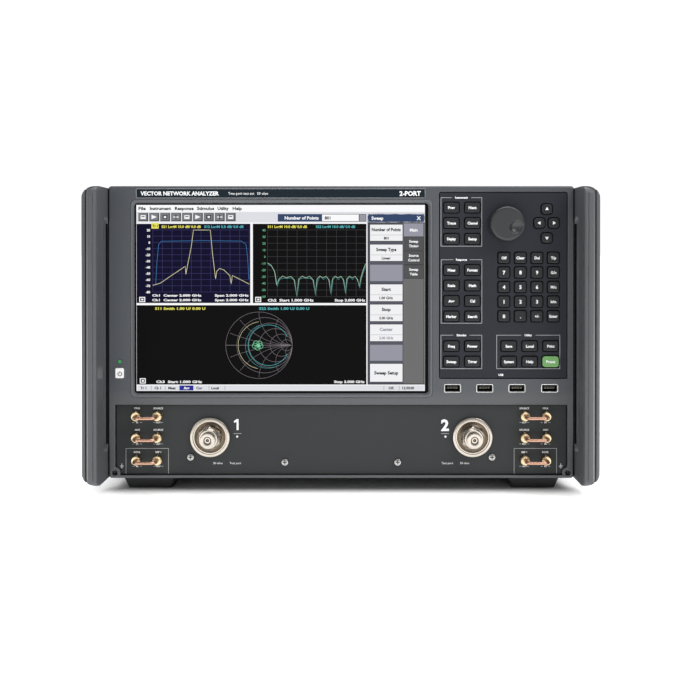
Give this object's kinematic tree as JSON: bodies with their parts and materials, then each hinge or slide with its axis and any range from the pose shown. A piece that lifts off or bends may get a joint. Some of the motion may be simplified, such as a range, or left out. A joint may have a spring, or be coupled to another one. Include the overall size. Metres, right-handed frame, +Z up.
{
  "type": "vector network analyzer",
  "caption": "Bench-top two-port vector network analyzer with colour screen, keypad, rotary knob, coaxial test ports, jumper loops, front handles and folding tilt stands.",
  "frame": {"origin": "on the floor under the middle of the bounding box", "axes": "+X right seen from the front, +Y to the back, +Z up; the screen faces -Y"},
  "size_m": [0.46, 0.606, 0.28],
  "materials": {
    "painted_casting": "satin powder coat",
    "bezel_trim": "satin powder coat",
    "screen_glass": "polished",
    "module_metal": "brushed",
    "keypad_plastic": "fine matt",
    "mat_rubber": "matt",
    "circuit_board": "solder mask",
    "port_panel_paint": "satin powder coat",
    "port_nickel": "turned, warm nickel",
    "gold_brass": "gold plate",
    "socket_steel": "bright plate",
    "light_lens": "clear lens",
    "screw_steel": "bright plate",
    "handle_paint": "satin powder coat",
    "cover_paint": "satin powder coat",
    "foot_plastic": "moulded",
    "rear_metal": "satin powder coat",
    "fan_plastic": "moulded",
    "key_rubber": "soft matt",
    "green_key": "soft matt",
    "white_key": "satin",
    "knob_rubber": "soft matt",
    "wire_steel": "drawn wire"
  },
  "bodies": {
    "chassis": {"front_frame": "painted_casting", "screen_bezel": "bezel_trim", "display_glass": "screen_glass", "display_module": "module_metal", "keypad_panel": "keypad_plastic", "keypad_mat": "mat_rubber", "front_board": "circuit_board", "knob_encoder": "module_metal", "port_panel": "port_panel_paint", "port_flanges": "port_nickel", "port_connectors": "port_nickel", "jumper_jacks": "gold_brass", "jumper_links": "gold_brass", "usb_sockets": "socket_steel", "status_lights": "light_lens", "panel_screws": "screw_steel", "handle_left": "handle_paint", "handle_right": "handle_paint", "handle_screws": "screw_steel", "outer_cover": "cover_paint", "chassis_tray": "module_metal", "feet": "foot_plastic", "rear_panel": "rear_metal", "rear_bumpers": "foot_plastic", "fan_housings": "fan_plastic", "power_supply": "module_metal", "main_board": "circuit_board", "rf_modules": "module_metal", "power_inlet": "fan_plastic", "rear_connectors": "socket_steel"},
    "digit_key_0": {"digit_key_0": "key_rubber"},
    "digit_key_1": {"digit_key_1": "key_rubber"},
    "digit_key_2": {"digit_key_2": "key_rubber"},
    "digit_key_3": {"digit_key_3": "key_rubber"},
    "digit_key_4": {"digit_key_4": "key_rubber"},
    "digit_key_5": {"digit_key_5": "key_rubber"},
    "digit_key_6": {"digit_key_6": "key_rubber"},
    "digit_key_7": {"digit_key_7": "key_rubber"},
    "digit_key_8": {"digit_key_8": "key_rubber"},
    "digit_key_9": {"digit_key_9": "key_rubber"},
    "point_key": {"point_key": "key_rubber"},
    "sign_key": {"sign_key": "key_rubber"},
    "arrow_key_up": {"arrow_key_up": "key_rubber"},
    "arrow_key_down": {"arrow_key_down": "key_rubber"},
    "arrow_key_left": {"arrow_key_left": "key_rubber"},
    "arrow_key_right": {"arrow_key_right": "key_rubber"},
    "preset_key": {"preset_key": "green_key"},
    "edit_keys": {"edit_keys": "key_rubber"},
    "unit_keys": {"unit_keys": "key_rubber"},
    "instrument_keys": {"instrument_keys": "key_rubber"},
    "response_keys": {"response_keys": "key_rubber"},
    "stimulus_keys": {"stimulus_keys": "key_rubber"},
    "utility_keys": {"utility_keys": "key_rubber"},
    "power_button": {"power_button": "white_key"},
    "knob": {"knob": "knob_rubber"},
    "fan_rotor_inner": {"fan_rotor_inner": "fan_plastic"},
    "fan_rotor_outer": {"fan_rotor_outer": "fan_plastic"},
    "tilt_stand_left": {"tilt_stand_left": "wire_steel"},
    "tilt_stand_right": {"tilt_stand_right": "wire_steel"},
    "ssd_caddy": {"ssd_caddy": "module_metal"}
  },
  "joints": [
    {"name": "digit_key_0_press", "type": "slide", "parent": "chassis", "child": "digit_key_0", "axis": [0, 1, 0], "range_m": [0, 0.0012], "stiffness_N_per_m": 900, "springref_m": -0.0004},
    {"name": "digit_key_1_press", "type": "slide", "parent": "chassis", "child": "digit_key_1", "axis": [0, 1, 0], "range_m": [0, 0.0012], "stiffness_N_per_m": 900, "springref_m": -0.0004},
    {"name": "digit_key_2_press", "type": "slide", "parent": "chassis", "child": "digit_key_2", "axis": [0, 1, 0], "range_m": [0, 0.0012], "stiffness_N_per_m": 900, "springref_m": -0.0004},
    {"name": "digit_key_3_press", "type": "slide", "parent": "chassis", "child": "digit_key_3", "axis": [0, 1, 0], "range_m": [0, 0.0012], "stiffness_N_per_m": 900, "springref_m": -0.0004},
    {"name": "digit_key_4_press", "type": "slide", "parent": "chassis", "child": "digit_key_4", "axis": [0, 1, 0], "range_m": [0, 0.0012], "stiffness_N_per_m": 900, "springref_m": -0.0004},
    {"name": "digit_key_5_press", "type": "slide", "parent": "chassis", "child": "digit_key_5", "axis": [0, 1, 0], "range_m": [0, 0.0012], "stiffness_N_per_m": 900, "springref_m": -0.0004},
    {"name": "digit_key_6_press", "type": "slide", "parent": "chassis", "child": "digit_key_6", "axis": [0, 1, 0], "range_m": [0, 0.0012], "stiffness_N_per_m": 900, "springref_m": -0.0004},
    {"name": "digit_key_7_press", "type": "slide", "parent": "chassis", "child": "digit_key_7", "axis": [0, 1, 0], "range_m": [0, 0.0012], "stiffness_N_per_m": 900, "springref_m": -0.0004},
    {"name": "digit_key_8_press", "type": "slide", "parent": "chassis", "child": "digit_key_8", "axis": [0, 1, 0], "range_m": [0, 0.0012], "stiffness_N_per_m": 900, "springref_m": -0.0004},
    {"name": "digit_key_9_press", "type": "slide", "parent": "chassis", "child": "digit_key_9", "axis": [0, 1, 0], "range_m": [0, 0.0012], "stiffness_N_per_m": 900, "springref_m": -0.0004},
    {"name": "point_key_press", "type": "slide", "parent": "chassis", "child": "point_key", "axis": [0, 1, 0], "range_m": [0, 0.0012], "stiffness_N_per_m": 900, "springref_m": -0.0004},
    {"name": "sign_key_press", "type": "slide", "parent": "chassis", "child": "sign_key", "axis": [0, 1, 0], "range_m": [0, 0.0012], "stiffness_N_per_m": 900, "springref_m": -0.0004},
    {"name": "arrow_key_up_press", "type": "slide", "parent": "chassis", "child": "arrow_key_up", "axis": [0, 1, 0], "range_m": [0, 0.0012], "stiffness_N_per_m": 900, "springref_m": -0.0004},
    {"name": "arrow_key_down_press", "type": "slide", "parent": "chassis", "child": "arrow_key_down", "axis": [0, 1, 0], "range_m": [0, 0.0012], "stiffness_N_per_m": 900, "springref_m": -0.0004},
    {"name": "arrow_key_left_press", "type": "slide", "parent": "chassis", "child": "arrow_key_left", "axis": [0, 1, 0], "range_m": [0, 0.0012], "stiffness_N_per_m": 900, "springref_m": -0.0004},
    {"name": "arrow_key_right_press", "type": "slide", "parent": "chassis", "child": "arrow_key_right", "axis": [0, 1, 0], "range_m": [0, 0.0012], "stiffness_N_per_m": 900, "springref_m": -0.0004},
    {"name": "preset_key_press", "type": "slide", "parent": "chassis", "child": "preset_key", "axis": [0, 1, 0], "range_m": [0, 0.0012], "stiffness_N_per_m": 900, "springref_m": -0.0004},
    {"name": "edit_keys_press", "type": "slide", "parent": "chassis", "child": "edit_keys", "axis": [0, 1, 0], "range_m": [0, 0.0012], "stiffness_N_per_m": 900, "springref_m": -0.0004},
    {"name": "unit_keys_press", "type": "slide", "parent": "chassis", "child": "unit_keys", "axis": [0, 1, 0], "range_m": [0, 0.0012], "stiffness_N_per_m": 900, "springref_m": -0.0004},
    {"name": "instrument_keys_press", "type": "slide", "parent": "chassis", "child": "instrument_keys", "axis": [0, 1, 0], "range_m": [0, 0.0012], "stiffness_N_per_m": 900, "springref_m": -0.0004},
    {"name": "response_keys_press", "type": "slide", "parent": "chassis", "child": "response_keys", "axis": [0, 1, 0], "range_m": [0, 0.0012], "stiffness_N_per_m": 900, "springref_m": -0.0004},
    {"name": "stimulus_keys_press", "type": "slide", "parent": "chassis", "child": "stimulus_keys", "axis": [0, 1, 0], "range_m": [0, 0.0012], "stiffness_N_per_m": 900, "springref_m": -0.0004},
    {"name": "utility_keys_press", "type": "slide", "parent": "chassis", "child": "utility_keys", "axis": [0, 1, 0], "range_m": [0, 0.0012], "stiffness_N_per_m": 900, "springref_m": -0.0004},
    {"name": "power_button_press", "type": "slide", "parent": "chassis", "child": "power_button", "axis": [0, 1, 0], "range_m": [0, 0.002], "stiffness_N_per_m": 900, "springref_m": -0.0004},
    {"name": "knob_turn", "type": "hinge", "parent": "chassis", "child": "knob", "pos_m": [0.15, -0.2653, 0.2453], "axis": [0, 1, 0], "continuous": true},
    {"name": "fan_rotor_inner_spin", "type": "hinge", "parent": "chassis", "child": "fan_rotor_inner", "pos_m": [0.055, 0.256, 0.208], "axis": [0, 1, 0], "continuous": true},
    {"name": "fan_rotor_outer_spin", "type": "hinge", "parent": "chassis", "child": "fan_rotor_outer", "pos_m": [0.155, 0.256, 0.208], "axis": [0, 1, 0], "continuous": true},
    {"name": "tilt_stand_left_fold", "type": "hinge", "parent": "chassis", "child": "tilt_stand_left", "pos_m": [-0.1785, -0.188, 0.0064], "axis": [1, 0, 0], "range_deg": [-95, 0]},
    {"name": "tilt_stand_right_fold", "type": "hinge", "parent": "chassis", "child": "tilt_stand_right", "pos_m": [0.1785, -0.188, 0.0064], "axis": [1, 0, 0], "range_deg": [-95, 0]},
    {"name": "ssd_caddy_slide", "type": "slide", "parent": "chassis", "child": "ssd_caddy", "axis": [0, 1, 0], "range_m": [0, 0.13]}
  ]
}
